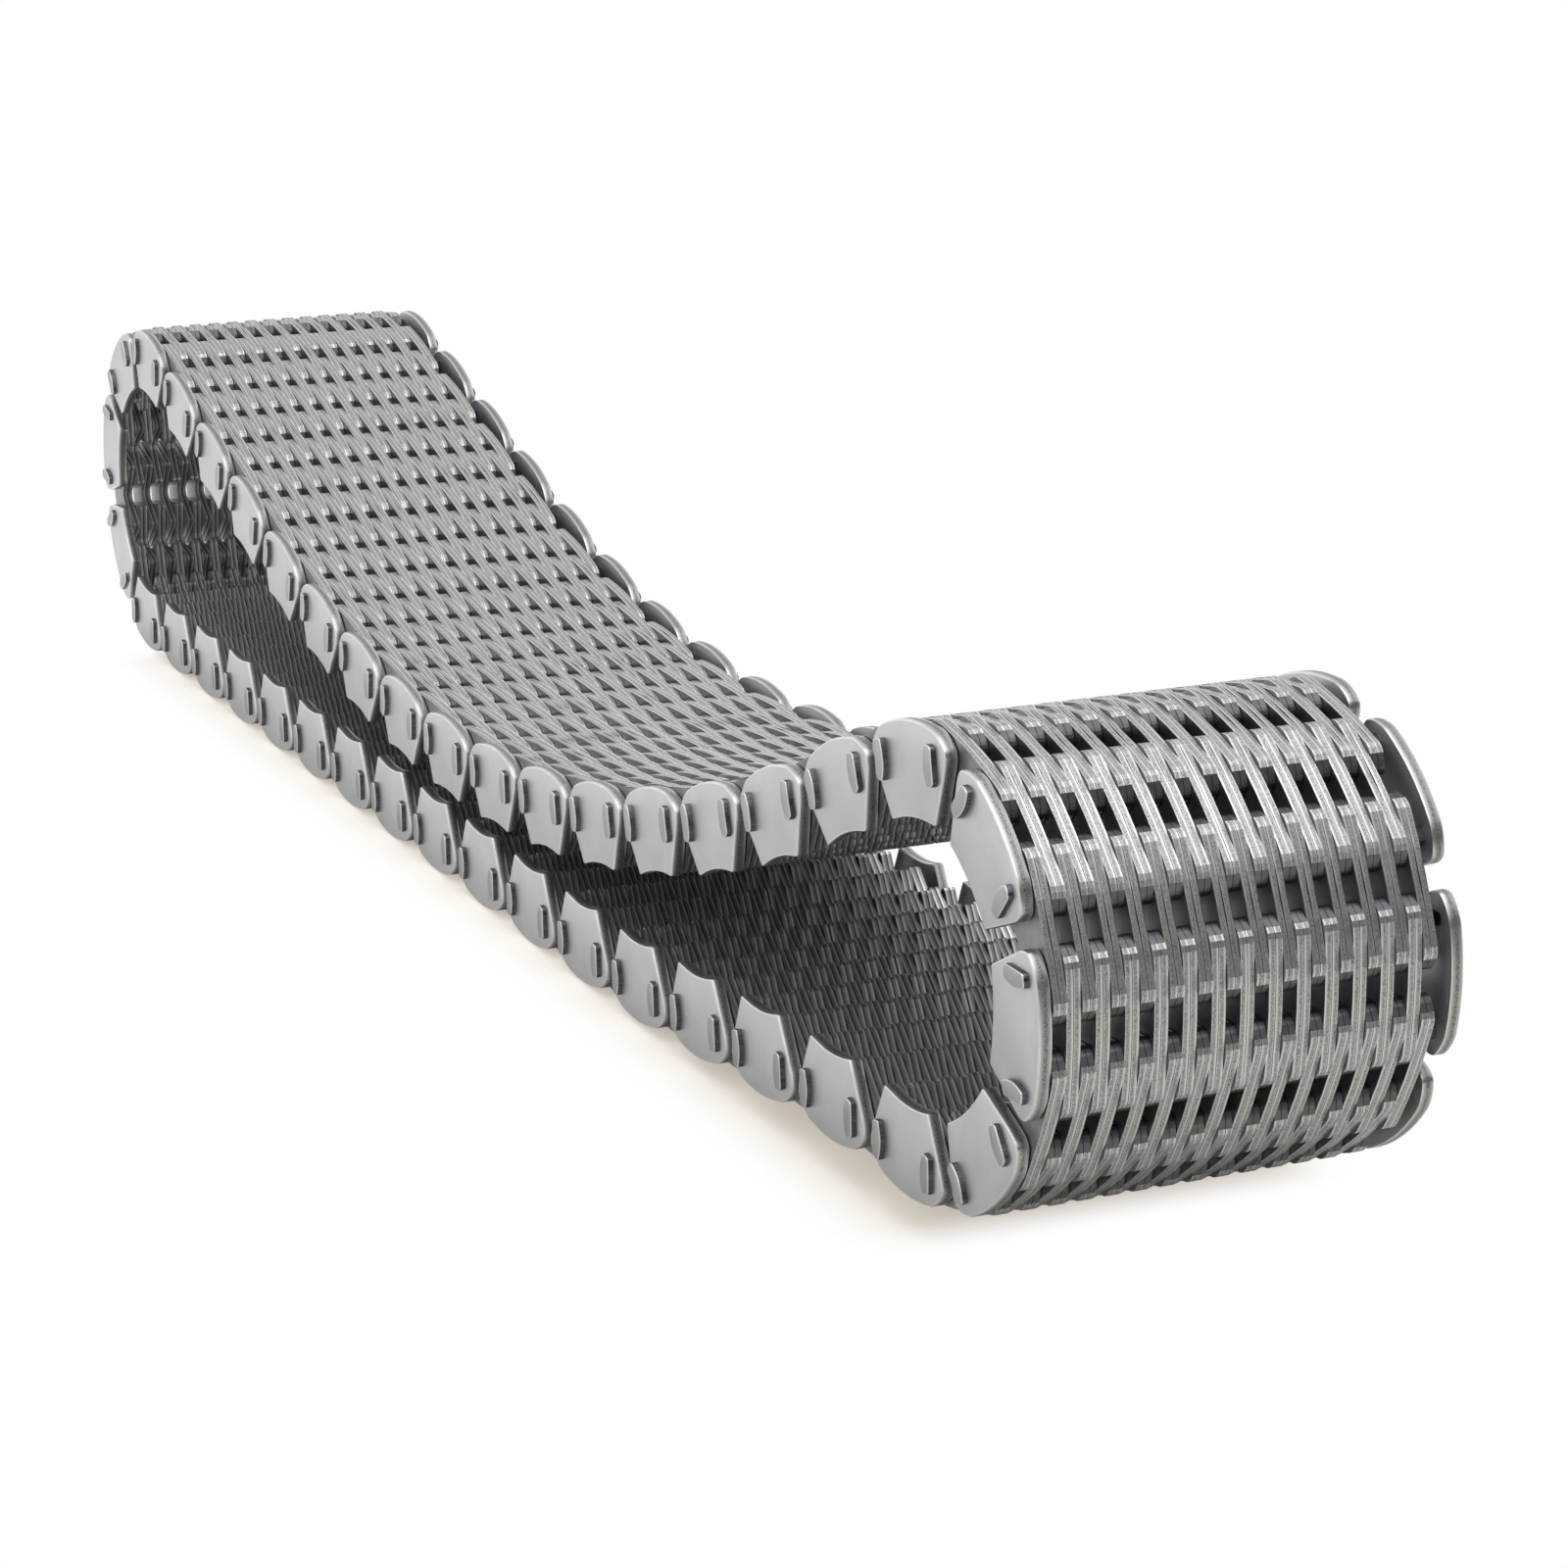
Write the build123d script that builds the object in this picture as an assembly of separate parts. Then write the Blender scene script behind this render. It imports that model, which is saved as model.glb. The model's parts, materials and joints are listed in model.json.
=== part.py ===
from build123d import *
import os
from math import atan2, cos, degrees, hypot, radians, sin

# A silent chain: an endless loop of toothed link plates that stands on its lower strand.
# Rows of plates alternate. A guide row has a centre pack of link plates between two
# smooth guide plates. A plain row has two packs, which fill the gaps beside that centre
# pack. Every joint holds two rocker pins that roll on each other, one from each row.
# Millimetres. X runs along the loop towards its near curl, Y along the pins, Z up.
# The origin is under the middle of the loop, on the backs of the lower strand.

# Pitch and lacing
PITCH = 9.525
ROW_COUNT = 80
LINK_THICKNESS = 0.8
LINKS_PER_GUIDE_ROW = 26
LINKS_PER_PLAIN_ROW = 28
GUIDE_THICKNESS = 1.5
SIDE_CLEARANCE = 0.05
SIDE_PLAY = 1.6

# Plate outlines, measured from the line through the pin centres or past a pin centre
PLATE_END = 4.34
BACK_HEIGHT = 4.4
BACK_CORNER_PAST_PIN = 1.4
SHOULDER_HEIGHT = 1.1
TOOTH_DEPTH = 6.3
TOOTH_TIP_PAST_PIN = 0.42
CROTCH_DEPTH = 1.3

# Rocker pins: crown, corners and flat back of one pin, measured from the joint's centre
CROWN_GAP = 0.2
PIN_CORNER_SETBACK = 0.7
PIN_HALF_HEIGHT = 2.2
PIN_BACK = 2.05
PIN_BACK_HALF_HEIGHT = 1.2
PIN_PROUD = 0.7
SWING_CLEARANCE = 0.075
SEAT_CLEARANCE = 0.02

# Lie of the loop: joints in each stretch, in order from the top of the far curl
FALL_ANGLE = 17.0
FALL_JOINTS = 6
RISE_JOINTS = 2
NEAR_CURL_JOINTS = 7
NEAR_CURL_EASE = 0.5
LIFT_ANGLE = 4.0
NEAR_FLAT_JOINTS = 1
LIFT_JOINTS = 3
SLOPE_JOINTS = 3
FAR_CURL_JOINTS = 8
FAR_CURL_EASE = 0.3

# Rows lie in pairs in the middle of each strand, which keeps the sub-parts to this number
SUB_PARTS = 60

# The sag and the floor share what the curls leave: half of those joints lie in each strand
CURL_JOINTS = NEAR_CURL_JOINTS + FAR_CURL_JOINTS + 4
STRAND_JOINTS = (ROW_COUNT - CURL_JOINTS) // 2
SAG_JOINTS = STRAND_JOINTS - FALL_JOINTS - RISE_JOINTS
SLOPE_END_JOINTS = NEAR_FLAT_JOINTS + 2 * LIFT_JOINTS + SLOPE_JOINTS
FLOOR_JOINTS = ROW_COUNT - CURL_JOINTS - STRAND_JOINTS - SLOPE_END_JOINTS
LOWER_PAIRS = (FLOOR_JOINTS + 1) // 2
UPPER_PAIRS = ROW_COUNT - SUB_PARTS - LOWER_PAIRS
NEAR_CURL_SIDE = NEAR_CURL_JOINTS // 2
FIRST_LOWER_PAIR = NEAR_CURL_SIDE + SLOPE_END_JOINTS + 1
FIRST_UPPER_PAIR = ROW_COUNT - NEAR_CURL_SIDE - RISE_JOINTS - 1 - 2 * UPPER_PAIRS

HALF_PITCH = PITCH / 2
CENTRE_PACK_WIDTH = LINKS_PER_GUIDE_ROW * LINK_THICKNESS
SIDE_PACK_WIDTH = LINKS_PER_PLAIN_ROW * LINK_THICKNESS / 2
CENTRE_FACE = CENTRE_PACK_WIDTH / 2
SIDE_PACK_START = CENTRE_FACE + SIDE_CLEARANCE
SIDE_PACK_FACE = SIDE_PACK_START + SIDE_PACK_WIDTH
GUIDE_START = SIDE_PACK_FACE + SIDE_CLEARANCE + SIDE_PLAY / 2
GUIDE_FACE = GUIDE_START + GUIDE_THICKNESS
PIN_END = GUIDE_FACE + PIN_PROUD
SWING_RADIUS = max(
    hypot(PIN_CORNER_SETBACK, PIN_HALF_HEIGHT), hypot(PIN_BACK, PIN_BACK_HALF_HEIGHT)
)
SWING_HALF = SWING_RADIUS + SWING_CLEARANCE
SEAT = PIN_BACK + SEAT_CLEARANCE


# Lie of the loop


def curl_turns(total, joints, ease, skew=0.0):
    """Turn at each joint of a curl, which eases in and out and can tighten towards its start."""
    middle = [1 + skew * (1 - 2 * i / (joints - 1)) for i in range(joints)]
    shares = [ease] + middle + [ease]
    return [-total * share / sum(shares) for share in shares]


def loop_headings(rise_angle, skew):
    """Heading of every row in degrees, clockwise from the top of the far curl."""
    far_curl = curl_turns(180 + FALL_ANGLE, FAR_CURL_JOINTS, FAR_CURL_EASE, skew)
    lie = [0.0] * FALL_JOINTS
    lie += [(FALL_ANGLE + rise_angle) / SAG_JOINTS] * SAG_JOINTS
    lie += [0.0] * RISE_JOINTS
    lie += curl_turns(180 + rise_angle, NEAR_CURL_JOINTS, NEAR_CURL_EASE)
    lie += [0.0] * NEAR_FLAT_JOINTS
    lie += [LIFT_ANGLE / LIFT_JOINTS] * LIFT_JOINTS
    lie += [0.0] * SLOPE_JOINTS
    lie += [-LIFT_ANGLE / LIFT_JOINTS] * LIFT_JOINTS
    lie += [0.0] * FLOOR_JOINTS
    headings = [-FALL_ANGLE]
    for turn in (lie + far_curl)[:-1]:
        headings.append(headings[-1] + turn)
    return headings


def closing_error(rise_angle, skew):
    """How far the last row ends from the first, in pitches."""
    headings = loop_headings(rise_angle, skew)
    return (
        sum(cos(radians(h)) for h in headings),
        sum(sin(radians(h)) for h in headings),
    )


def closed_loop_headings():
    """The rise angle and the far curl's skew that close the loop, by Newton's method."""
    rise_angle, skew, step = 20.0, 0.1, 1e-4
    for _ in range(40):
        ex, ez = closing_error(rise_angle, skew)
        if hypot(ex, ez) < 1e-10:
            break
        ax, az = closing_error(rise_angle + step, skew)
        bx, bz = closing_error(rise_angle, skew + step)
        axx, azx, bxx, bzx = [d / step for d in (ax - ex, az - ez, bx - ex, bz - ez)]
        det = axx * bzx - bxx * azx
        rise_angle -= max(-5.0, min(5.0, (ex * bzx - ez * bxx) / det))
        skew -= max(-0.3, min(0.3, (ez * axx - ex * azx) / det))
    return loop_headings(rise_angle, skew)


def laid_rows():
    """Centre and heading of each row. Row 1 starts at the open pivot on the near curl."""
    headings = closed_loop_headings()
    x, z, rows = 0.0, 0.0, []
    for heading in headings:
        along = PITCH * cos(radians(heading)), PITCH * sin(radians(heading))
        rows.append((x + along[0] / 2, z + along[1] / 2, heading))
        x, z = x + along[0], z + along[1]
    first = STRAND_JOINTS + NEAR_CURL_SIDE + 2
    rows = rows[first:] + rows[:first]
    corners = [row_point(row, u, n) for row in rows for u, n in link_outline()]
    xs, zs = [c[0] for c in corners], [c[1] for c in corners]
    middle, floor = (min(xs) + max(xs)) / 2, min(zs)
    return [(cx - middle, cz - floor, heading) for cx, cz, heading in rows]


def row_point(row, u, n):
    """A point of a row's own frame in the loop: u along the row, n out from the loop."""
    cx, cz, heading = row
    c, s = cos(radians(heading)), sin(radians(heading))
    return cx + u * c - n * s, cz + u * s + n * c


def row_plane(row):
    """Plane of a row at its centre: x along the row, y out from the loop, z along the pins."""
    cx, cz, heading = row
    direction = (cos(radians(heading)), 0, sin(radians(heading)))
    return Plane(origin=(cx, 0, cz), x_dir=direction, z_dir=(0, -1, 0))


# Plates


def mirrored_outline(half):
    """Outline from its right-hand half, given from the back down to the inner edge."""
    return half + [(-u, n) for u, n in reversed(half) if u > 0]


def link_outline():
    """Link plate: flat back, chamfered corners and two teeth with a crotch between them."""
    return mirrored_outline([
        (HALF_PITCH + BACK_CORNER_PAST_PIN, BACK_HEIGHT),
        (HALF_PITCH + PLATE_END, SHOULDER_HEIGHT),
        (HALF_PITCH + TOOTH_TIP_PAST_PIN, -TOOTH_DEPTH),
        (0, -CROTCH_DEPTH),
    ])


def guide_outline():
    """Guide plate: a link plate's outline without the crotch."""
    return [(u, n) for u, n in link_outline() if u != 0]


def box_outline(side, inner, outer, half_height):
    """Four-cornered aperture at one joint, from inner to outer past the pin centre."""
    u0, u1 = side * (HALF_PITCH + inner), side * (HALF_PITCH + outer)
    return [(u0, -half_height), (u1, -half_height), (u1, half_height), (u0, half_height)]


def link_aperture(side):
    """Seats the plate's own rocker pin on its outer wall and lets the other one swing."""
    return box_outline(side, -SWING_HALF, SEAT, SWING_HALF)


def guide_aperture(side):
    """Holds the guide plate's own rocker pin alone."""
    return box_outline(side, 0, SEAT, PIN_HALF_HEIGHT + SEAT_CLEARANCE)


def drawn(points):
    """Flat face inside a closed outline."""
    return make_face(Polyline(*points, close=True))


def slab(outline, apertures, start, end):
    """Plate or pack of plates with that outline, from start to end along the pins."""
    face = drawn(outline)
    for aperture in apertures:
        face -= drawn(aperture)
    return Pos(0, 0, start) * extrude(face, amount=end - start, dir=(0, 0, 1))


def both_sides(outline, apertures, start, end):
    """The same plate on either side of the chain's middle."""
    return [
        slab(outline, apertures, start, end),
        slab(outline, apertures, -end, -start),
    ]


# Rocker pins


def pin_outline(side):
    """Rocker pin: a crown that rolls on its neighbour's, two corners and a flat back."""
    half = [
        (CROWN_GAP / 2, 0),
        (PIN_CORNER_SETBACK, PIN_HALF_HEIGHT),
        (PIN_BACK, PIN_BACK_HALF_HEIGHT),
    ]
    section = half + [(u, -n) for u, n in reversed(half[1:])]
    return [(side * (HALF_PITCH + u), n) for u, n in section]


def rocker_pin(side, start, end):
    """Rocker pin at one joint of a row, from start to end along its axis."""
    section = drawn(pin_outline(side))
    return Pos(0, 0, start) * extrude(section, amount=end - start, dir=(0, 0, 1))


# Rows

START_JOINT, END_JOINT = -1, 1


def pushed_aside(solids):
    """Plates and pins slid along to the guide plates on the -Y side. All the side play is
    then on the +Y side, as it is in the chain that lies in the photographed loop."""
    return [Pos(0, 0, SIDE_PLAY / 2) * solid for solid in solids]


def guide_row(open_joint=None):
    """Two guide plates, the centre pack and two long pins. At the open pivot, the pin is
    kept only inside the row's own plates, so that the two ends of the loop can part."""
    long_apertures = [guide_aperture(START_JOINT), guide_aperture(END_JOINT)]
    pack_apertures = [link_aperture(START_JOINT), link_aperture(END_JOINT)]
    solids = both_sides(guide_outline(), long_apertures, GUIDE_START, GUIDE_FACE)
    centre_pack = slab(link_outline(), pack_apertures, -CENTRE_FACE, CENTRE_FACE)
    solids += pushed_aside([centre_pack])
    for side in (START_JOINT, END_JOINT):
        if side == open_joint:
            solids += pushed_aside([rocker_pin(side, -CENTRE_FACE, CENTRE_FACE)])
            solids.append(rocker_pin(side, GUIDE_START, PIN_END))
            solids.append(rocker_pin(side, -PIN_END, -GUIDE_START))
        else:
            solids.append(rocker_pin(side, -PIN_END, PIN_END))
    return solids


def plain_row(open_joint=None):
    """Two packs of link plates and two short pins, which stop inside the guide plates."""
    apertures = [link_aperture(START_JOINT), link_aperture(END_JOINT)]
    solids = both_sides(link_outline(), apertures, SIDE_PACK_START, SIDE_PACK_FACE)
    for side in (START_JOINT, END_JOINT):
        if side == open_joint:
            solids.append(rocker_pin(side, SIDE_PACK_START, SIDE_PACK_FACE))
            solids.append(rocker_pin(side, -SIDE_PACK_FACE, -SIDE_PACK_START))
        else:
            solids.append(rocker_pin(side, -SIDE_PACK_FACE, SIDE_PACK_FACE))
    return pushed_aside(solids)


def is_guide_row(number):
    """Odd rows carry the guide plates."""
    return number % 2 == 1


def row_groups():
    """Row numbers of each sub-part: single rows, and pairs in the middle of each strand."""
    groups, number = [], 1
    lower = range(FIRST_LOWER_PAIR, FIRST_LOWER_PAIR + 2 * LOWER_PAIRS)
    upper = range(FIRST_UPPER_PAIR, FIRST_UPPER_PAIR + 2 * UPPER_PAIRS)
    while number <= ROW_COUNT:
        paired = number in lower or number in upper
        groups.append([number, number + 1] if paired else [number])
        number += len(groups[-1])
    return groups


def group_name(group):
    """Name of a sub-part, such as plain_row_01 or row_pair_20_21."""
    if len(group) == 2:
        return f"row_pair_{group[0]:02d}_{group[1]:02d}"
    kind = "guide" if is_guide_row(group[0]) else "plain"
    return f"{kind}_row_{group[0]:02d}"


def build_rows():
    """Solids of every row where they lie in the loop, by row number."""
    patterns = {True: guide_row(), False: plain_row()}
    first, last = guide_row(START_JOINT), plain_row(END_JOINT)
    placed = {}
    for number, row in enumerate(laid_rows(), start=1):
        solids = {1: first, ROW_COUNT: last}.get(number, patterns[is_guide_row(number)])
        location = row_plane(row).location
        placed[number] = [solid.moved(location).solid() for solid in solids]
    return placed


def main():
    os.makedirs("parts", exist_ok=True)
    placed = build_rows()
    for group in row_groups():
        solids = [solid for number in group for solid in placed[number]]
        export_step(Compound(solids), f"parts/{group_name(group)}.step")


main()
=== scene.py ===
import json
from math import radians, sqrt

import bmesh
import bpy
from mathutils import Matrix, Vector

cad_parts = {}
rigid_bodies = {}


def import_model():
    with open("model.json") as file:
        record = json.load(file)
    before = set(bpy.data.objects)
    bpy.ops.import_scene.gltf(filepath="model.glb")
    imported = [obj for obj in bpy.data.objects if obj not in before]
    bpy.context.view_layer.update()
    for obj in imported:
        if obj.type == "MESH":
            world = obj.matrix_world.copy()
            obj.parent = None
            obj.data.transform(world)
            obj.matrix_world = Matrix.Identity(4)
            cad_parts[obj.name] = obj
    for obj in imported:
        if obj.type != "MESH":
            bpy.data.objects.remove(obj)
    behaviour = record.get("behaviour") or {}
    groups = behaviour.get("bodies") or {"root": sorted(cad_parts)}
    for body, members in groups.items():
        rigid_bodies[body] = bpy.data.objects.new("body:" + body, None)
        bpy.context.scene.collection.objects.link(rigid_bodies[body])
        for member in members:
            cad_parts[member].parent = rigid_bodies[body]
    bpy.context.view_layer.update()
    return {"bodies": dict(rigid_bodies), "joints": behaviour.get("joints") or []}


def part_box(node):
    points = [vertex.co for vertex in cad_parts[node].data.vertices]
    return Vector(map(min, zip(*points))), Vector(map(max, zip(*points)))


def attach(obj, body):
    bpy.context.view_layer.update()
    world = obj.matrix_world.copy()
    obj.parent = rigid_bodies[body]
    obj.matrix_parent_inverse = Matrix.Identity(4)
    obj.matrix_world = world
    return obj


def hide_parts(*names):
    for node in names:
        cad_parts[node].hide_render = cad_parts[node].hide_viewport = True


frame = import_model()

# The lie of the chain. Eighty rows of plates are joined end to end into an endless loop,
# which stands on its lower strand. Every joint is one pitch from the next, so the joints
# inside the rigid pairs of rows, and the open pivot, follow from their neighbours.

# Lengths are in metres, here and in every section.
PITCH = 0.009525
HALF_PITCH = PITCH / 2
ROW_COUNT = 80
OPEN_PIVOT = 80


def row_before(number):
    """The row before this one, round the loop."""
    return (number - 2) % ROW_COUNT + 1


def row_after(number):
    """The row after this one, round the loop."""
    return number % ROW_COUNT + 1


def joint_between(before, after, outwards):
    """Joint one pitch from both neighbours, on the back or the toothed side of their line."""
    chord = after - before
    out = Vector((-chord.z, 0, chord.x)).normalized()
    rise = sqrt(max(0, PITCH**2 - (chord.length / 2) ** 2))
    return before + chord / 2 + out * (rise if outwards else -rise)


# A joint has the number of the row before it.
joints = {}
for joint in frame["joints"]:
    joints[int(joint["name"].split("_")[-2])] = Vector(joint["pos_m"])
for number in sorted(set(range(1, ROW_COUNT + 1)) - set(joints)):
    joints[number] = joint_between(
        joints[row_before(number)], joints[row_after(number)], outwards=number == OPEN_PIVOT
    )


def row_place(number):
    """Matrix of a row: X along it, Y along its pins, Z out of the loop, centred."""
    start, end = joints[row_before(number)], joints[number]
    along = (end - start).normalized()
    out = Vector((-along.z, 0, along.x))
    place = Matrix((along, Vector((0, 1, 0)), out)).transposed().to_4x4()
    place.translation = (start + end) / 2
    return place


# A body is named after the one row or the two rows that it holds.
body_of_row = {}
for body in frame["bodies"]:
    for word in body.split("_"):
        if word.isdigit():
            body_of_row[int(word)] = body


def lay(pattern, number, name):
    """Lays a copy of a row's pattern piece in the loop, riding on its body."""
    piece = pattern.copy()
    piece.data = pattern.data.copy()
    piece.name = f"{name}_{number:02d}"
    bpy.context.scene.collection.objects.link(piece)
    piece.data.transform(row_place(number))
    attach(piece, body_of_row[number])
    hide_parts(body_of_row[number])


def is_guide_row(number):
    """Odd rows carry the guide plates."""
    return number % 2 == 1


# Rocker pins. Each joint holds two hardened steel pins, one from each row, whose ground
# crowns roll on each other. A guide row's pins run the chain's full width and stand proud
# of its guide plates. A plain row's pins are shorter and end inside them.

# Depths of the crown and of the back, from the joint's centre.
PIN_CROWN = 0.0001
PIN_BACK = 0.00205
PIN_HALF_HEIGHT = 0.0022
PIN_CROWN_RADIUS = 0.0043
PIN_BACK_ROUNDING = 0.001
PIN_RIM = 0.00011
RIM_SEGMENTS = 2
# Where the crown is divided, as shares of the half height.
PIN_STATIONS = (-0.75, -0.45, -0.15, 0.15, 0.45, 0.75)

# Corners closer to each other than the first distance are merged. A corner closer to a
# plane than the second lies in it.
SAME_PLACE = 1e-7
IN_PLANE = 1e-5
# Angles between faces, in degrees: a flat face's, a sharp edge's and a smooth surface's.
FLAT_ANGLE = 0.5
SHARP_ANGLE = 45
SMOOTH_ANGLE = 35
# A face's turn to the chain's side, from 0 to 1: an end's is more than the first, the
# outline's less than the second, and a broken rim's lies between them.
END_TURN = 0.95
OUTLINE_TURN = 0.05

# Lines in a metre along X, Y and Z. Real grinding lines are finer than 0.01 mm, so these
# are drawn 0.11 mm wide and 3.3 mm long, to show.
GRINDING_LINES = (9000, 300, 9000)
# Noise lies mostly between these, so the dark and the light grey of a finish stand there.
DARK_NOISE = 0.3
LIGHT_NOISE = 0.7

long_pin_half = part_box("guide_row_05")[1].y
pack_edges = [corner.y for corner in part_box("plain_row_06")]
pack_half = (pack_edges[1] - pack_edges[0]) / 2
pack_middle = (pack_edges[1] + pack_edges[0]) / 2


def linear(hex_colour):
    """An sRGB hex colour as linear red, green, blue and alpha."""
    parts = [int(hex_colour[i : i + 2], 16) / 255 for i in (1, 3, 5)]
    return [c / 12.92 if c <= 0.04045 else ((c + 0.055) / 1.055) ** 2.4 for c in parts] + [1]


def add_node(tree, kind, settings=None, links=None):
    """Adds a node with its settings, and links its inputs to other nodes' outputs."""
    node = tree.nodes.new(kind)
    for name, value in (settings or {}).items():
        if name == "steps":
            steps = node.color_ramp.elements
            steps.remove(steps[1])
            steps[0].position, steps[0].color = value[0]
            for place, colour in value[1:]:
                steps.new(place).color = colour
        elif isinstance(name, int) or name in node.inputs:
            node.inputs[name].default_value = value
        else:
            setattr(node, name, value)
    for name, output in (links or {}).items():
        tree.links.new(output, node.inputs[name])
    return node


def new_material(name, roughness, metallic):
    """A new material, its node tree and its shader."""
    material = bpy.data.materials.new(name)
    material.use_nodes = True
    shader = material.node_tree.nodes["Principled BSDF"]
    shader.inputs["Metallic"].default_value = metallic
    shader.inputs["Roughness"].default_value = roughness
    return material, material.node_tree, shader


def marked_steel(name, dark, light, roughness, marks, detail):
    """Bare steel that drifts between two greys, with so many marks in a metre each way."""
    material, tree, shader = new_material(name, roughness, metallic=1)
    coordinates = add_node(tree, "ShaderNodeTexCoord")
    spread = add_node(
        tree, "ShaderNodeMapping", {"Scale": marks}, {"Vector": coordinates.outputs["Object"]}
    )
    noise = add_node(
        tree, "ShaderNodeTexNoise", {"Scale": 1, "Detail": detail}, {"Vector": spread.outputs[0]}
    )
    greys = add_node(
        tree, "ShaderNodeValToRGB",
        {"steps": [(DARK_NOISE, linear(dark)), (LIGHT_NOISE, linear(light))]},
        {"Fac": noise.outputs["Fac"]},
    )
    tree.links.new(greys.outputs[0], shader.inputs["Base Color"])
    return material


def tumbled_steel(name, dark, light, roughness, cloud_size):
    """Barrel-finished steel: an even satin grey, with faint clouds of that size."""
    return marked_steel(name, dark, light, roughness, [1 / cloud_size] * 3, detail=4)


def new_piece(name, size, centre):
    """A block of that size, deselected from everything else, open for editing."""
    bpy.ops.object.select_all(action="DESELECT")
    bpy.ops.mesh.primitive_cube_add(size=1, location=centre, scale=size)
    piece = bpy.context.object
    piece.name = name
    bpy.ops.object.transform_apply(location=True, rotation=True, scale=True)
    bpy.ops.object.mode_set(mode="EDIT")
    return piece


def cut_line(place, normal):
    """Cuts a line round the whole piece, at that place."""
    bpy.ops.mesh.select_all(action="SELECT")
    bpy.ops.mesh.bisect(plane_co=place, plane_no=normal)


def pick(piece, kind, test):
    """Selects the piece's vertices or edges that pass the test."""
    bpy.ops.mesh.select_mode(type=kind)
    bpy.ops.mesh.select_all(action="DESELECT")
    mesh = bmesh.from_edit_mesh(piece.data)
    for element in mesh.verts if kind == "VERT" else mesh.edges:
        element.select = test(element)
    mesh.select_flush_mode()
    bmesh.update_edit_mesh(piece.data)


def round_corners(piece, test, radius, segments):
    """Rounds the outline's corners where the test passes."""
    def is_corner(edge):
        a, b = edge.verts[0].co, edge.verts[1].co
        return abs(a.x - b.x) + abs(a.z - b.z) < SAME_PLACE and test(a)

    pick(piece, "EDGE", is_corner)
    bpy.ops.mesh.bevel(offset=radius, segments=segments)


def close_piece(piece):
    """Leaves edit mode with flat faces whole, doubles merged and every face outwards."""
    bpy.ops.mesh.select_mode(type="VERT")
    bpy.ops.mesh.select_all(action="SELECT")
    bpy.ops.mesh.remove_doubles(threshold=SAME_PLACE)
    bpy.ops.mesh.dissolve_limited(angle_limit=radians(FLAT_ANGLE))
    bpy.ops.mesh.normals_make_consistent(inside=False)
    bpy.ops.object.mode_set(mode="OBJECT")


def break_edges(piece, width):
    """Breaks the sharp edges, and shades the rounded ones smooth."""
    edges = piece.modifiers.new("edges", "BEVEL")
    edges.width = width
    edges.segments = RIM_SEGMENTS
    edges.limit_method = "ANGLE"
    edges.angle_limit = radians(SHARP_ANGLE)
    bpy.ops.object.modifier_apply(modifier=edges.name)
    bpy.ops.object.shade_smooth_by_angle(angle=radians(SMOOTH_ANGLE))


def finish_steel(piece, ends, outline, rims):
    """Gives the flat ends, the outline and the broken rims between them their finishes."""
    piece.data.materials.clear()
    for steel in (ends, outline, rims):
        piece.data.materials.append(steel)
    for face in piece.data.polygons:
        turn = abs(face.normal.y)
        face.material_index = 0 if turn > END_TURN else 1 if turn < OUTLINE_TURN else 2


def rocker_pin(name, side, start, end):
    """One pin: a block whose inner face is drawn out to a crown and whose back is rounded."""
    middle = HALF_PITCH + (PIN_CROWN + PIN_BACK) / 2
    back, top = HALF_PITCH + PIN_BACK - IN_PLANE, PIN_HALF_HEIGHT - IN_PLANE
    size = (PIN_BACK - PIN_CROWN, end - start, 2 * PIN_HALF_HEIGHT)
    piece = new_piece(name, size, (side * middle, (start + end) / 2, 0))
    for station in PIN_STATIONS:
        cut_line((0, 0, station * PIN_HALF_HEIGHT), (0, 0, 1))
    mesh = bmesh.from_edit_mesh(piece.data)
    for vertex in mesh.verts:
        if abs(vertex.co.x) < middle:
            vertex.co.x += side * vertex.co.z**2 / (2 * PIN_CROWN_RADIUS)
    round_corners(
        piece, lambda place: abs(place.x) > back and abs(place.z) > top, PIN_BACK_ROUNDING, 3
    )
    close_piece(piece)
    break_edges(piece, PIN_RIM)
    finish_steel(piece, tumbled_pin_end, shaded_ground_pin_side, burnished_rim_and_highlight)
    return piece


# Ground and oily along the sides, and painted darker as the shade on a pin's walls, so a pin
# is the dark line at the bottom of each gap, with a glint on its crown.
shaded_ground_pin_side = marked_steel(
    "ground_steel_pin_side_painted_shade", "#4E4F52", "#77787B", 0.3, GRINDING_LINES, detail=2
)
# Satin on the ends, a shade darker than the guide plates that they stand proud of.
tumbled_pin_end = tumbled_steel("tumbled_steel_pin_end", "#B2B3B5", "#BDBEC0", 0.45, 0.004)
# Polished by the barrel's stones, and painted paler as a highlight: a thin bright line round
# pin ends and guide plates.
burnished_rim_and_highlight = tumbled_steel("burnished_steel_rim_painted_highlight", "#DCDCDA", "#F0F0EE", 0.3, 0.002)

long_start = rocker_pin("long_start_pin", -1, -long_pin_half, long_pin_half)
long_end = rocker_pin("long_end_pin", 1, -long_pin_half, long_pin_half)
short_start = rocker_pin("short_start_pin", -1, *pack_edges)
short_end = rocker_pin("short_end_pin", 1, *pack_edges)
for number in range(1, ROW_COUNT + 1):
    if number != row_after(OPEN_PIVOT):
        lay(long_start if is_guide_row(number) else short_start, number, "rocker_pin_start")
    if number != OPEN_PIVOT:
        lay(long_end if is_guide_row(number) else short_end, number, "rocker_pin_end")

# Link plates. Each is blanked from thin spring steel, with two teeth on the inner side and
# an aperture at each joint. They are laced two by two: a plain row has fourteen pairs, a
# guide row thirteen, and every pair fills the gap between two pairs of the rows beside it.

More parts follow.
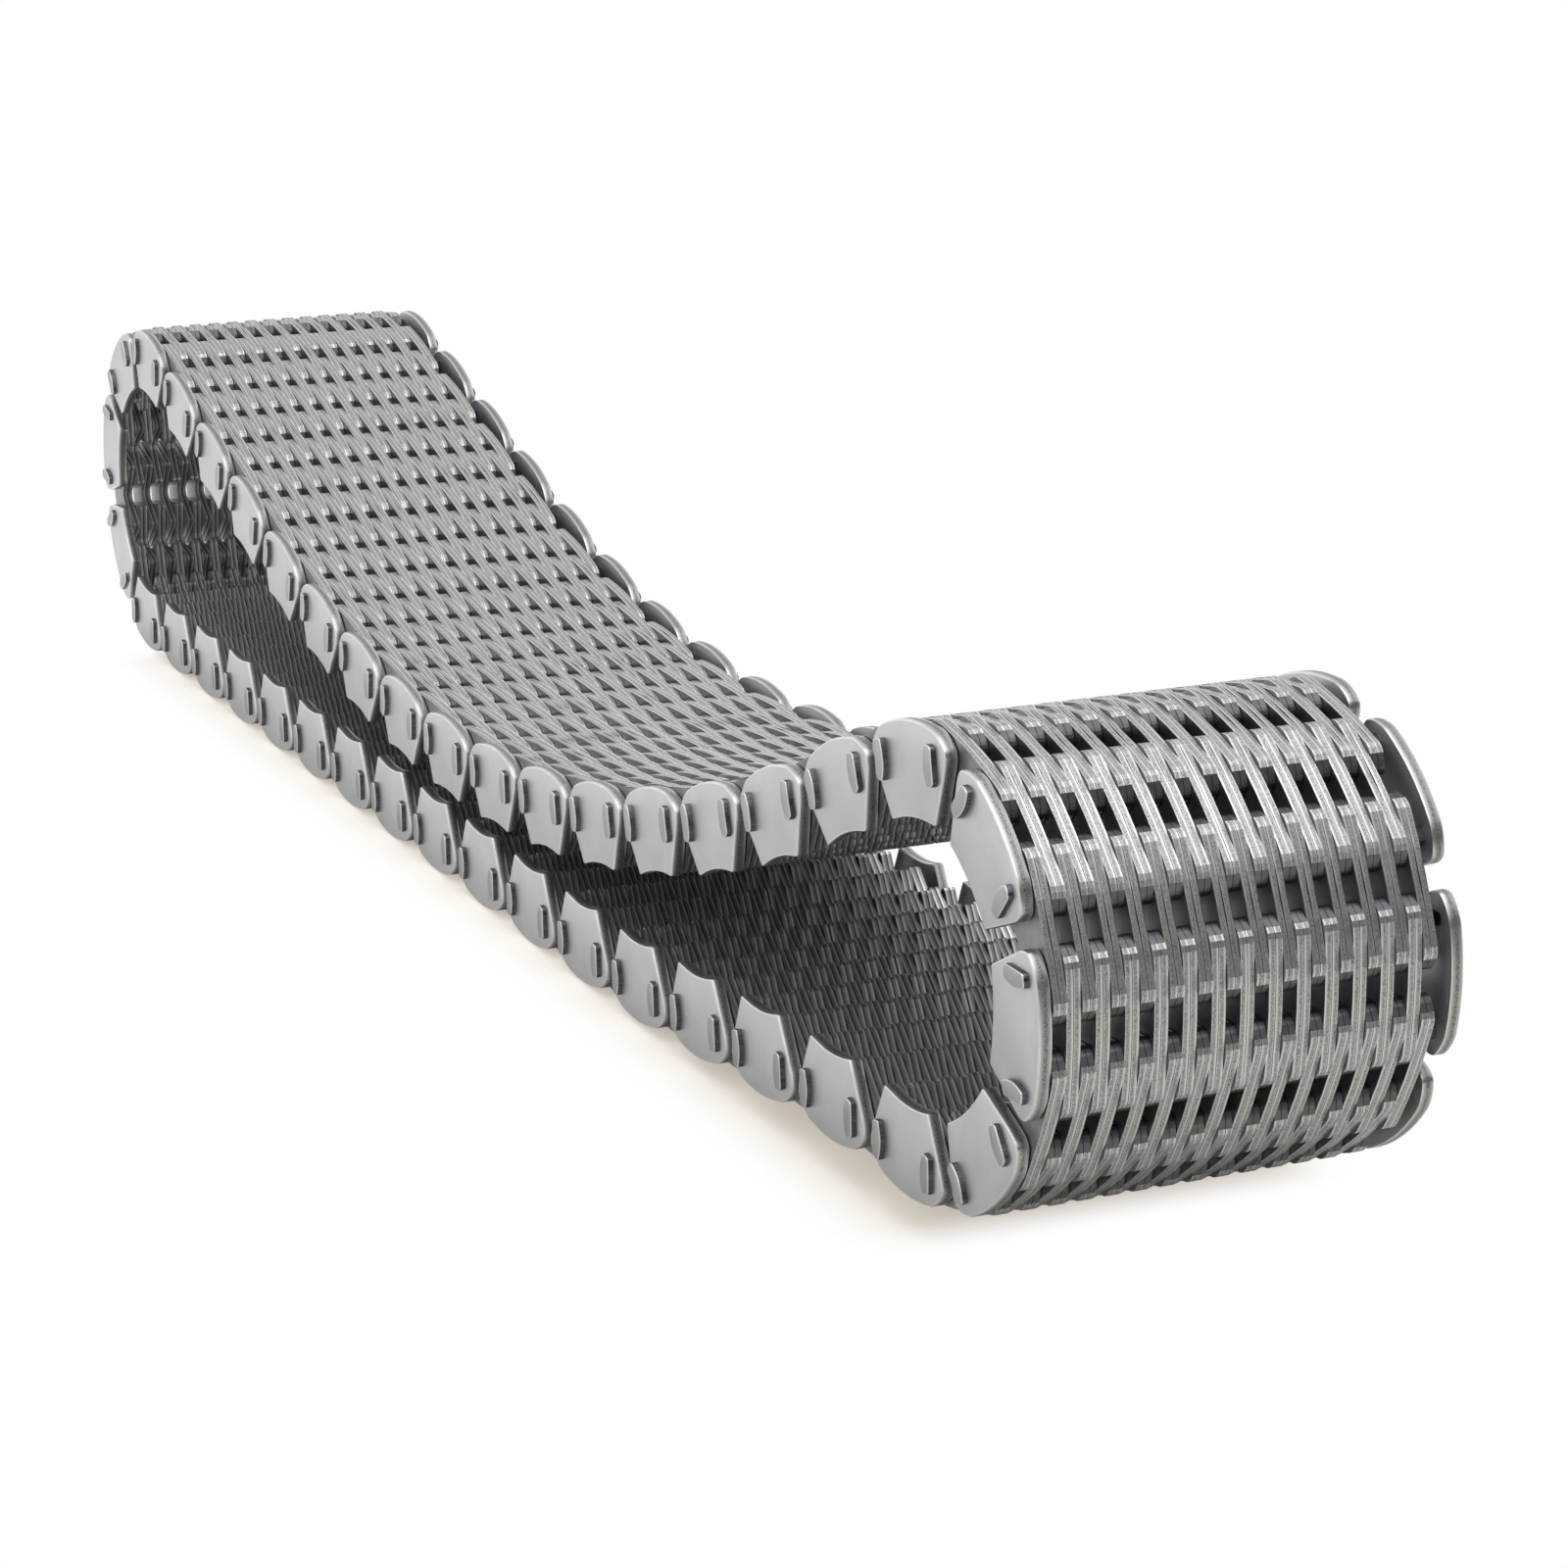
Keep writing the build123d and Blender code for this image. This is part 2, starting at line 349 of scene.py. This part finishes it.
# Heights are measured from the line through the row's two joints, lengths from its middle.
PLATE_END = 0.00434
PLATE_HALF = HALF_PITCH + PLATE_END
LINK_BACK_HEIGHT = 0.004
LINK_CROWN_RADIUS = 0.06
LINK_CROWN_STATIONS = (0.003, 0.0058)
LINK_CORNER_PAST_PIN = 0.0031
LINK_CORNER_ROUNDING = 0.0007
LINK_SHOULDERS = (0.001, 0.0018)
LINK_SHOULDER_ROUNDING = 0.00038
LINK_TIP_ROUNDING = 0.0006
LINK_SMOOTH_ANGLE = 40
TOOTH_DEPTH = 0.0063
TIP = HALF_PITCH + 0.00042
CROTCH_DEPTH = 0.0013
CROTCH_ROUNDING = 0.0011
APERTURE_RADIUS = 0.00245
APERTURE_SIDES = 8
APERTURE_CUTTER = 0.02
# The corners of a plate's back are higher and farther out than this.
BACK_CORNER_LEVEL = 0.0025
BACK_CORNER_FROM = HALF_PITCH + 0.002
# A tooth's edge faces into the loop by more than the first, from 0 to 1. A plate's end faces
# along the chain by more than the second, and starts at that length.
TOOTH_EDGE_TURN = 0.3
LINK_END_TURN = 0.8
LINK_END_FROM = HALF_PITCH + 0.0027

# Plates across the chain, and for each pack its first layer and its number of pairs.
LAYERS = 54
CENTRE_LACING = (2, 13)
SIDE_LACING = (0, 14)
PLATE_GAP = 0.00007

# Grains in a metre along X, Y and Z. The real ones are about 0.02 mm, so they are drawn
# 0.11 mm wide and 0.18 mm long, to show.
BROKEN_GRAINS = (5500, 9000, 5500)
# The noise between a pit and a grain's top, and how dark or light each is.
GRAIN_NOISE = (0.35, 0.6)
GRAIN_TONES = (0.45, 1.15)
SHEARED_ROUGHNESS = 0.36
BROKEN_ROUGHNESS = 0.48
GRAIN_RELIEF = 0.4

layer = 2 * pack_half / LAYERS


def crowned_plate(name, thickness, back, corner, shoulders, stations, inner_edge):
    """Block cut to a plate's outline: a back with a height and a crown radius, slopes down
    to the shoulders, tapering flanks, and an inner edge given by its height along the plate."""
    back_height, crown_radius = back
    height = back_height + TOOTH_DEPTH
    size = (2 * PLATE_HALF, thickness, height)
    piece = new_piece(name, size, (0, 0, back_height - height / 2))
    for shoulder in shoulders:
        cut_line((0, 0, shoulder), (0, 0, 1))
    pick(piece, "VERT", lambda vertex: vertex.co.z > back_height - IN_PLANE)
    bpy.ops.transform.resize(value=(corner / PLATE_HALF, 1, 1))
    pick(piece, "VERT", lambda vertex: at_tip(vertex.co))
    bpy.ops.transform.resize(value=(TIP / PLATE_HALF, 1, 1))
    for station in (0, *stations):
        cut_line((station, 0, 0), (1, 0, 0))
        cut_line((-station, 0, 0), (1, 0, 0))
    mesh = bmesh.from_edit_mesh(piece.data)
    for vertex in mesh.verts:
        if vertex.co.z > back_height - IN_PLANE:
            vertex.co.z -= vertex.co.x**2 / (2 * crown_radius)
        elif at_tip(vertex.co):
            vertex.co.z = inner_edge(abs(vertex.co.x))
    bmesh.update_edit_mesh(piece.data)
    bpy.ops.mesh.select_all(action="SELECT")
    bpy.ops.mesh.dissolve_limited(angle_limit=radians(FLAT_ANGLE))
    return piece


def at_back_corner(place):
    """Whether a place on the outline is where the back meets the shoulder's slope."""
    return place.z > BACK_CORNER_LEVEL and abs(place.x) > BACK_CORNER_FROM


def at_shoulder(place):
    """Whether a place on the outline is the widest, at the end of the plate."""
    return abs(place.x) > PLATE_HALF - IN_PLANE


def at_tip(place):
    """Whether a place on the outline is as low as the tips."""
    return place.z < -TOOTH_DEPTH + IN_PLANE


def at_crotch(place):
    """Whether a place on the outline is the corner between the two teeth."""
    return abs(place.z + CROTCH_DEPTH) < IN_PLANE and abs(place.x) < IN_PLANE


def bore(piece, radius, sides):
    """Cuts the apertures at both joints."""
    for side in (-1, 1):
        bpy.ops.object.select_all(action="DESELECT")
        bpy.ops.mesh.primitive_cylinder_add(
            vertices=sides, radius=radius, depth=APERTURE_CUTTER,
            rotation=(radians(90), 0, 0), location=(side * HALF_PITCH, 0, 0),
        )
        cutter = bpy.context.object
        bpy.context.view_layer.objects.active = piece
        hole = piece.modifiers.new("aperture", "BOOLEAN")
        hole.object = cutter
        hole.operation = "DIFFERENCE"
        hole.solver = "EXACT"
        bpy.ops.object.modifier_apply(modifier=hole.name)
        bpy.data.objects.remove(cutter)


def link_plate():
    """One toothed link plate, at the chain's middle."""
    slope = (TOOTH_DEPTH - CROTCH_DEPTH) / TIP
    piece = crowned_plate(
        "link_plate", layer - PLATE_GAP, (LINK_BACK_HEIGHT, LINK_CROWN_RADIUS),
        HALF_PITCH + LINK_CORNER_PAST_PIN, LINK_SHOULDERS, LINK_CROWN_STATIONS,
        lambda x: -CROTCH_DEPTH - slope * x,
    )
    for corner, radius in (
        (at_back_corner, LINK_CORNER_ROUNDING), (at_shoulder, LINK_SHOULDER_ROUNDING),
        (at_tip, LINK_TIP_ROUNDING), (at_crotch, CROTCH_ROUNDING),
    ):
        round_corners(piece, corner, radius, 2)
    close_piece(piece)
    bore(piece, APERTURE_RADIUS, APERTURE_SIDES)
    bpy.ops.object.shade_smooth_by_angle(angle=radians(LINK_SMOOTH_ANGLE))
    finish_steel(piece, shaded_rolled_face, blanked_link_edge_and_highlight, tooth_edge_shade_and_highlight)
    piece.data.materials.append(shaded_link_end)
    for face in piece.data.polygons:
        is_edge, turn = face.material_index == 1, face.normal
        # Tooth edges inside the loop take the painted shade and highlight lines.
        if is_edge and turn.z < -TOOTH_EDGE_TURN and face.center.z < 0:
            face.material_index = 2
        # The plates' ends take the painted shade.
        elif abs(turn.x) > LINK_END_TURN and abs(face.center.x) > LINK_END_FROM:
            face.material_index = 3
    return piece


def laced(plate, name, first_layer, pairs):
    """Lays plates across the chain in pairs, with a pair's width between them."""
    bpy.ops.object.select_all(action="DESELECT")
    plate.select_set(True)
    bpy.context.view_layer.objects.active = plate
    bpy.ops.object.duplicate()
    pack = bpy.context.object
    pack.name = name
    first = pack_middle - pack_half + (first_layer + 0.5) * layer
    pack.data.transform(Matrix.Translation((0, first, 0)))
    for count, step in ((2, layer), (pairs, 4 * layer)):
        array = pack.modifiers.new("lacing", "ARRAY")
        array.count = count
        array.use_relative_offset = False
        array.use_constant_offset = True
        array.constant_offset_displace = (0, step, 0)
        bpy.ops.object.modifier_apply(modifier=array.name)
    return pack


def blanked_steel(name, middle, first_face, thickness, bands, grain_depth):
    """Blanked edge. Across each plate's thickness, a pale rim is followed by the band
    that the punch sheared smooth and by the grainy band where the steel broke off. A band
    has the place where it starts, its grey, and how much of its grain shows."""
    material, tree, shader = new_material(name, SHEARED_ROUGHNESS, metallic=1)
    coordinates = add_node(tree, "ShaderNodeTexCoord")
    axes = add_node(tree, "ShaderNodeSeparateXYZ", {}, {0: coordinates.outputs["Object"]})
    from_middle = add_node(
        tree, "ShaderNodeMath", {"operation": "SUBTRACT", 1: middle}, {0: axes.outputs["Y"]}
    )
    outwards = add_node(
        tree, "ShaderNodeMath", {"operation": "ABSOLUTE"}, {0: from_middle.outputs[0]}
    )
    plates = add_node(
        tree, "ShaderNodeMath",
        {"operation": "MULTIPLY_ADD", 1: 1 / thickness, 2: -first_face / thickness},
        {0: outwards.outputs[0]},
    )
    across = add_node(tree, "ShaderNodeMath", {"operation": "FRACT"}, {0: plates.outputs[0]})
    greys = add_node(
        tree, "ShaderNodeValToRGB",
        {"steps": [(start, linear(grey)) for start, grey, _ in bands]},
        {"Fac": across.outputs[0]},
    )
    broken = add_node(
        tree, "ShaderNodeValToRGB",
        {"steps": [(start, (share, share, share, 1)) for start, _, share in bands]},
        {"Fac": across.outputs[0]},
    )
    spread = add_node(
        tree, "ShaderNodeMapping",
        {"Scale": BROKEN_GRAINS}, {"Vector": coordinates.outputs["Object"]},
    )
    grain = add_node(
        tree, "ShaderNodeTexNoise", {"Scale": 1, "Detail": 1}, {"Vector": spread.outputs[0]}
    )
    pits = add_node(
        tree, "ShaderNodeMapRange",
        {
            "From Min": GRAIN_NOISE[0], "From Max": GRAIN_NOISE[1],
            "To Min": GRAIN_TONES[0], "To Max": GRAIN_TONES[1],
        },
        {"Value": grain.outputs["Fac"]},
    )
    speckled = add_node(
        tree, "ShaderNodeMix", {"data_type": "RGBA", "blend_type": "MULTIPLY"},
        {0: broken.outputs[0], 6: greys.outputs[0], 7: pits.outputs[0]},
    )
    roughness = add_node(
        tree, "ShaderNodeMapRange",
        {"To Min": SHEARED_ROUGHNESS, "To Max": BROKEN_ROUGHNESS}, {"Value": broken.outputs[0]},
    )
    relief = add_node(
        tree, "ShaderNodeBump", {"Strength": GRAIN_RELIEF, "Distance": grain_depth},
        {"Height": grain.outputs["Fac"]},
    )
    tree.links.new(speckled.outputs[2], shader.inputs["Base Color"])
    tree.links.new(roughness.outputs[0], shader.inputs["Roughness"])
    tree.links.new(relief.outputs[0], shader.inputs["Normal"])
    return material


# Cold-rolled sides, a dull grey with faint clouds, painted darker than the edges as the shade
# between the plates. Little of them shows there, so they only darken the gaps.
shaded_rolled_face = tumbled_steel("rolled_steel_face_painted_shade", "#8E8F92", "#A8A9AC", 0.42, 0.0025)
# The teeth inside the loop. The slot between two plates is painted dark as shade, and the
# sheared band beside it is painted near white as a highlight, so they read as white lines on
# black.
tooth_edge_shade_and_highlight = blanked_steel(
    "steel_tooth_edge_painted_shade_and_highlight", pack_middle, 0, layer,
    (
        (0.0, "#2E2F31", 0.0), (0.12, "#7A7B7D", 0.0), (0.2, "#FEFEFC", 0.0),
        (0.45, "#FCFCFA", 0.0), (0.55, "#C4C5C7", 0.3), (0.95, "#B0B1B3", 0.3),
    ),
    0.00002,
)
# The plates' ends, painted dark as the shade where two rows overlap. They make the gaps
# between the laced pairs look deep.
shaded_link_end = tumbled_steel("steel_link_end_painted_shade", "#68696C", "#828386", 0.45, 0.0015)
# The backs, rubbed clean: a dark line of painted shade where two plates meet, a bright line
# of painted highlight at each side of a plate, then a smooth third that the punch sheared,
# then speckled grey where the steel broke.
blanked_link_edge_and_highlight = blanked_steel(
    "blanked_steel_link_edge_painted_highlight", pack_middle, 0, layer,
    (
        (0.0, "#7A7B7C", 0.0), (0.08, "#F2F2F0", 0.0), (0.3, "#D8D8D6", 0.1),
        (0.42, "#BABAB8", 0.9), (0.82, "#C4C4C2", 0.9), (0.93, "#F0F0EE", 0.1),
    ),
    0.00003,
)

plate_pattern = link_plate()
centre_links = laced(plate_pattern, "centre_links", *CENTRE_LACING)
side_links = laced(plate_pattern, "side_links", *SIDE_LACING)
for number in range(1, ROW_COUNT + 1):
    if is_guide_row(number):
        lay(centre_links, number, "centre_link_plates")
    else:
        lay(side_links, number, "side_link_plates")

# Guide plates. A smooth plate without teeth closes each side of a guide row and keeps the
# chain on its sprocket. It is thicker than a link plate, tumbled to a satin face with a
# broken rim, rubbed and painted bright as a highlight, hollow along its inner edge, and
# riveted to nothing: it grips the pins.

GUIDE_THICKNESS = 0.0015
GUIDE_BACK_HEIGHT = 0.0044
GUIDE_CROWN_RADIUS = 0.024
GUIDE_CROWN_STATIONS = (0.0014, 0.0028, 0.0042, 0.0056)
GUIDE_CORNER_PAST_PIN = 0.0028
GUIDE_CORNER_ROUNDING = 0.0018
GUIDE_SHOULDER = 0.001
GUIDE_SHOULDER_ROUNDING = 0.0013
GUIDE_TIP_ROUNDING = 0.0003
GUIDE_HOLLOW = 0.0006
GUIDE_PIN_PROUD = 0.0007
GUIDE_RIM = 0.00022

# Distances of a guide plate's outer and inner face from the chain's middle.
guide_face = long_pin_half - GUIDE_PIN_PROUD
guide_start = guide_face - GUIDE_THICKNESS


def guide_plate():
    """One guide plate, at the chain's middle."""
    piece = crowned_plate(
        "guide_plate", GUIDE_THICKNESS, (GUIDE_BACK_HEIGHT, GUIDE_CROWN_RADIUS),
        HALF_PITCH + GUIDE_CORNER_PAST_PIN, (GUIDE_SHOULDER,), GUIDE_CROWN_STATIONS,
        lambda x: -TOOTH_DEPTH + GUIDE_HOLLOW * (1 - (x / TIP) ** 2),
    )
    for corner, radius, segments in (
        (at_back_corner, GUIDE_CORNER_ROUNDING, 5), (at_shoulder, GUIDE_SHOULDER_ROUNDING, 4),
        (at_tip, GUIDE_TIP_ROUNDING, 2),
    ):
        round_corners(piece, corner, radius, segments)
    close_piece(piece)
    break_edges(piece, GUIDE_RIM)
    finish_steel(piece, tumbled_face, blanked_guide_edge, burnished_rim_and_highlight)
    return piece


def join_pieces(name, pieces):
    """Joins pieces of one row into one pattern piece."""
    bpy.ops.object.select_all(action="DESELECT")
    for piece in pieces:
        piece.select_set(True)
    bpy.context.view_layer.objects.active = pieces[0]
    bpy.ops.object.join()
    joined = bpy.context.object
    joined.name = name
    return joined


# The satin face: the palest and most even grey of the chain.
tumbled_face = tumbled_steel("tumbled_steel_guide_face", "#D0D1D3", "#DADBDD", 0.48, 0.006)
# The edge, paler at both rims than where the steel broke, so a plate's thickness shows.
blanked_guide_edge = blanked_steel(
    "blanked_steel_guide_edge", 0, guide_start, GUIDE_THICKNESS,
    (
        (0.0, "#D6D6D4", 0.0), (0.3, "#B9B9B8", 0.1), (0.42, "#A2A2A1", 1.0),
        (0.6, "#A8A8A7", 1.0), (0.72, "#BDBDBC", 0.1), (1.0, "#D6D6D4", 0.0),
    ),
    0.00003,
)

guide_pattern = guide_plate()
sides = []
for side in (-1, 1):
    plate = guide_pattern.copy()
    plate.data = guide_pattern.data.copy()
    bpy.context.scene.collection.objects.link(plate)
    plate.data.transform(Matrix.Translation((0, side * (guide_face + guide_start) / 2, 0)))
    sides.append(plate)
guide_pair = join_pieces("guide_pair", sides)
for number in range(1, ROW_COUNT + 1, 2):
    lay(guide_pair, number, "guide_plates")

# Open pivot. Where the endless chain is opened for its joints, each of the two pins is kept
# only inside the plates of its own row, so that the rows can part. Nothing of it shows while
# the loop is closed.

plate_half = (layer - PLATE_GAP) / 2

start_stub = rocker_pin("start_stub", -1, -plate_half, plate_half)
end_stub = rocker_pin("end_stub", 1, -plate_half, plate_half)
start_stubs = laced(start_stub, "start_stubs", *CENTRE_LACING)
end_stubs = laced(end_stub, "end_stubs", *SIDE_LACING)
guide_stubs = join_pieces("guide_stubs", [
    rocker_pin("near_stub", -1, -long_pin_half, -guide_start),
    rocker_pin("far_stub", -1, guide_start, long_pin_half),
])
lay(start_stubs, row_after(OPEN_PIVOT), "rocker_pin_start_in_links")
lay(guide_stubs, row_after(OPEN_PIVOT), "rocker_pin_start_in_guides")
lay(end_stubs, OPEN_PIVOT, "rocker_pin_end_in_links")

# Every copy is laid, so the patterns go.
for pattern in (
    long_start, long_end, short_start, short_end, plate_pattern, centre_links, side_links,
    guide_pattern, guide_pair, start_stub, end_stub, start_stubs, end_stubs, guide_stubs,
):
    bpy.data.objects.remove(pattern)

# Floor, light and camera. A plain white floor keeps the chain's shadow. One soft box hangs
# overhead between pale walls, and a black card behind the camera gives the steel its dark
# reflection. The camera stands low at the near end, a little above the chain.

FLOOR_SIZE = 2.4
MATT = 0.9
# Half of the lower strand's footprint, how far round it the shadow shows, and the glow that
# lifts it for the camera.
SHADOW_HALF = (0.145, 0.021, 0)
SHADOW_REACH = 0.012
SHADOW_LIFT = 0.45
# The floor that the steel mirrors turns white from the first X to the second, and this far
# beside the footprint.
MIRRORED_WHITE = (0.12, -0.2)
MIRRORED_REACH = 0.05
# Steel sees white walls up to the first height, and from the second a greyer ceiling. All
# else gets an even light.
WALL_TOP = 0.15
CEILING_FROM = 0.6
CEILING = 0.72
EVEN_LIGHT = 0.6

CAMERA_PLACE = (0.5086, -0.19291, 0.1542)
CAMERA_HEADING = 66.58
CAMERA_TILT = 14.87
CAMERA_ROLL = -0.75
CAMERA_LENS = 92.71
CAMERA_NEAR = 0.01


def white_floor():
    """Matt white floor that keeps the chain's shadow, and melts into the white behind it."""
    bpy.ops.object.select_all(action="DESELECT")
    bpy.ops.mesh.primitive_plane_add(size=FLOOR_SIZE, location=(0, 0, 0))
    floor = bpy.context.object
    floor.name = "floor"
    material, tree, shader = new_material("white_floor", MATT, metallic=0)
    shader.inputs["Base Color"].default_value = linear("#EFEDEA")
    shader.inputs["Specular IOR Level"].default_value = 0
    path = add_node(tree, "ShaderNodeLightPath")
    coordinates = add_node(tree, "ShaderNodeTexCoord")

    # The camera sees the shadow lifted, and a little warm.
    lift = add_node(
        tree, "ShaderNodeMath", {"operation": "MULTIPLY", 1: SHADOW_LIFT},
        {0: path.outputs["Is Camera Ray"]},
    )
    glow = add_node(
        tree, "ShaderNodeEmission", {"Color": linear("#FFF3E2")}, {"Strength": lift.outputs[0]}
    )
    lifted = add_node(
        tree, "ShaderNodeAddShader", {}, {0: shader.outputs[0], 1: glow.outputs[0]}
    )

    # How far a point lies outside the footprint.
    one_side = add_node(
        tree, "ShaderNodeVectorMath", {"operation": "ABSOLUTE"},
        {0: coordinates.outputs["Object"]},
    )
    past_chain = add_node(
        tree, "ShaderNodeVectorMath", {"operation": "SUBTRACT", 1: SHADOW_HALF},
        {0: one_side.outputs[0]},
    )
    beside = add_node(
        tree, "ShaderNodeVectorMath", {"operation": "MAXIMUM"}, {0: past_chain.outputs[0]}
    )
    distance = add_node(
        tree, "ShaderNodeVectorMath", {"operation": "LENGTH"}, {0: beside.outputs[0]}
    )

    # For the camera, the floor fades to white past the shadow's reach.
    fade = add_node(
        tree, "ShaderNodeMapRange",
        {"interpolation_type": "SMOOTHSTEP", "From Min": 0, "From Max": SHADOW_REACH},
        {"Value": distance.outputs["Value"]},
    )
    fade_seen = add_node(
        tree, "ShaderNodeMath", {"operation": "MULTIPLY"},
        {0: fade.outputs[0], 1: path.outputs["Is Camera Ray"]},
    )

    # For the steel, it fades along the chain and to its sides.
    along = add_node(tree, "ShaderNodeSeparateXYZ", {}, {0: coordinates.outputs["Object"]})
    farther = add_node(
        tree, "ShaderNodeMapRange",
        {"From Min": MIRRORED_WHITE[0], "From Max": MIRRORED_WHITE[1]},
        {"Value": along.outputs["X"]},
    )
    aside = add_node(
        tree, "ShaderNodeMapRange",
        {"From Min": 0, "From Max": MIRRORED_REACH}, {"Value": distance.outputs["Value"]},
    )
    whiter = add_node(
        tree, "ShaderNodeMath", {"operation": "MULTIPLY"},
        {0: farther.outputs[0], 1: aside.outputs[0]},
    )
    fade_mirrored = add_node(
        tree, "ShaderNodeMath", {"operation": "MULTIPLY"},
        {0: whiter.outputs[0], 1: path.outputs["Is Glossy Ray"]},
    )

    fade_both = add_node(
        tree, "ShaderNodeMath", {"operation": "ADD"},
        {0: fade_seen.outputs[0], 1: fade_mirrored.outputs[0]},
    )
    plain_white = add_node(tree, "ShaderNodeEmission")
    blend = add_node(
        tree, "ShaderNodeMixShader", {},
        {0: fade_both.outputs[0], 1: lifted.outputs[0], 2: plain_white.outputs[0]},
    )
    tree.links.new(blend.outputs[0], tree.nodes["Material Output"].inputs["Surface"])
    floor.data.materials.append(material)


def studio_world():
    """Pale surroundings, white where they show. The steel sees white walls and a greyer ceiling."""
    world = bpy.data.worlds.new("studio")
    bpy.context.scene.world = world
    world.use_nodes = True
    tree = world.node_tree
    path = add_node(tree, "ShaderNodeLightPath")
    direction = add_node(tree, "ShaderNodeTexCoord")
    height = add_node(tree, "ShaderNodeSeparateXYZ", {}, {0: direction.outputs["Object"]})
    walls = add_node(
        tree, "ShaderNodeMapRange",
        {"From Min": WALL_TOP, "From Max": CEILING_FROM, "To Min": 1.0, "To Max": CEILING},
        {"Value": height.outputs["Z"]},
    )
    mirrored = add_node(
        tree, "ShaderNodeMapRange", {"To Min": EVEN_LIGHT},
        {"Value": path.outputs["Is Glossy Ray"], "To Max": walls.outputs[0]},
    )
    strength = add_node(
        tree, "ShaderNodeMapRange", {"To Max": 1.0},
        {"Value": path.outputs["Is Camera Ray"], "To Min": mirrored.outputs[0]},
    )
    background = tree.nodes["Background"]
    background.inputs["Color"].default_value = (1, 1, 1, 1)
    tree.links.new(strength.outputs[0], background.inputs["Strength"])


def soft_box(name, place, aim, size, power):
    """A square soft box, aimed at a point."""
    light = bpy.data.lights.new(name, "AREA")
    light.size = size
    light.energy = power
    lamp = bpy.data.objects.new(name, light)
    lamp.location = place
    lamp.rotation_euler = (Vector(aim) - Vector(place)).to_track_quat("-Z", "Y").to_euler()
    bpy.context.scene.collection.objects.link(lamp)


def black_card(place, aim, width, height):
    """A matt black card that only the steel sees."""
    bpy.ops.object.select_all(action="DESELECT")
    bpy.ops.mesh.primitive_plane_add(size=1)
    card = bpy.context.object
    card.name = "black_card"
    turn = (Vector(aim) - Vector(place)).to_track_quat("Z", "Y").to_matrix().to_4x4()
    card.data.transform(Matrix.Translation(place) @ turn @ Matrix.Diagonal((width, height, 1, 1)))
    material, _, shader = new_material("black_card", MATT, metallic=0)
    shader.inputs["Base Color"].default_value = linear("#3C3D3F")
    card.data.materials.append(material)
    for ray in ("camera", "diffuse", "transmission", "shadow"):
        setattr(card, f"visible_{ray}", False)


white_floor()
studio_world()
soft_box("overhead", place=(0.3, 0.1, 0.9), aim=(0.05, 0, 0), size=0.9, power=2.5)
black_card(place=(1.4, 0.6, 0.42), aim=(0.15, 0, 0.05), width=2.6, height=0.88)

camera = bpy.data.objects.new("camera", bpy.data.cameras.new("camera"))
camera.data.lens = CAMERA_LENS
camera.data.clip_start = CAMERA_NEAR
turn = Matrix.Rotation(radians(CAMERA_HEADING), 4, "Z")
turn = turn @ Matrix.Rotation(radians(90 - CAMERA_TILT), 4, "X")
turn = turn @ Matrix.Rotation(radians(CAMERA_ROLL), 4, "Z")
camera.matrix_world = Matrix.Translation(CAMERA_PLACE) @ turn
bpy.context.scene.collection.objects.link(camera)
bpy.context.scene.camera = camera
bpy.context.scene.view_settings.view_transform = "Standard"
